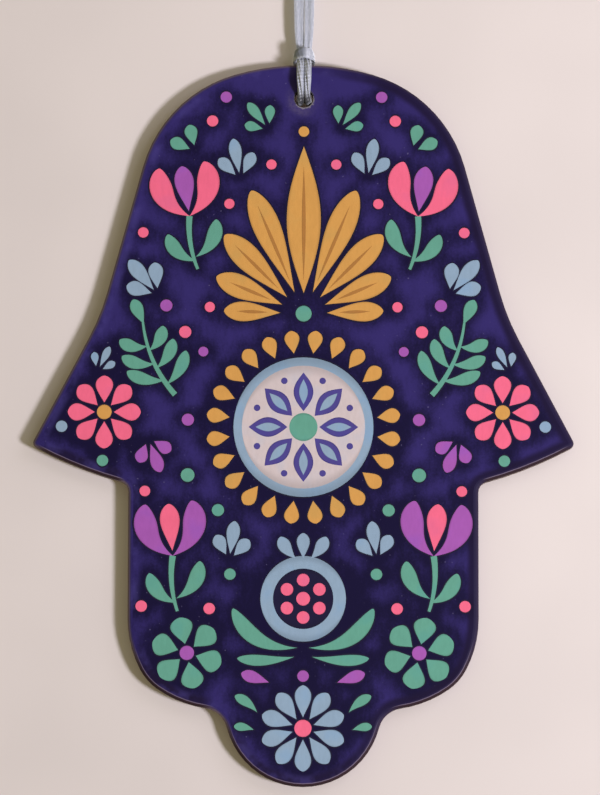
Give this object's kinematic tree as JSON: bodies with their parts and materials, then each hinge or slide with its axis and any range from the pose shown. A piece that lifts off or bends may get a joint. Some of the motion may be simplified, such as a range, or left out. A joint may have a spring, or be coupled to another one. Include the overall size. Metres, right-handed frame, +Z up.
{
  "type": "hamsa hand ornament",
  "caption": "Flat hand-shaped wall plaque with a printed front, hung from a nail by a doubled satin ribbon hitched through a hole.",
  "frame": {"origin": "on the axis of the nail that the ribbon's loop hangs from", "axes": "+X to the right as seen from the front, +Y back into the wall, +Z up; the printed front faces -Y"},
  "size_m": [0.1422, 0.0075, 0.2399],
  "materials": {
    "hardboard": "pressed fibre, bare on the back and the edge",
    "white_ground": "thin matt paint",
    "print": "print under a satin varnish",
    "satin_ribbon": "satin weave with a sheen along its length"
  },
  "bodies": {
    "knot": {"ribbon_knot": "satin_ribbon"},
    "strands": {"ribbon_left_strand": "satin_ribbon", "ribbon_right_strand": "satin_ribbon"},
    "hitch": {"ribbon_hitch": "satin_ribbon"},
    "plaque": {"board": "hardboard", "white_ground": "white_ground", "printed_face": "print"}
  },
  "joints": [
    {"name": "swing", "type": "hinge", "parent": "knot", "child": "strands", "pos_m": [0, 0, 0], "axis": [0, 1, 0], "range_deg": [-30, 30]},
    {"name": "lift", "type": "hinge", "parent": "strands", "child": "hitch", "pos_m": [0, 0, -0.032], "axis": [-1, 0, 0], "range_deg": [0, 60]},
    {"name": "rock", "type": "hinge", "parent": "hitch", "child": "plaque", "pos_m": [0, 0, -0.0451], "axis": [0, 1, 0], "range_deg": [-15, 15]}
  ]
}
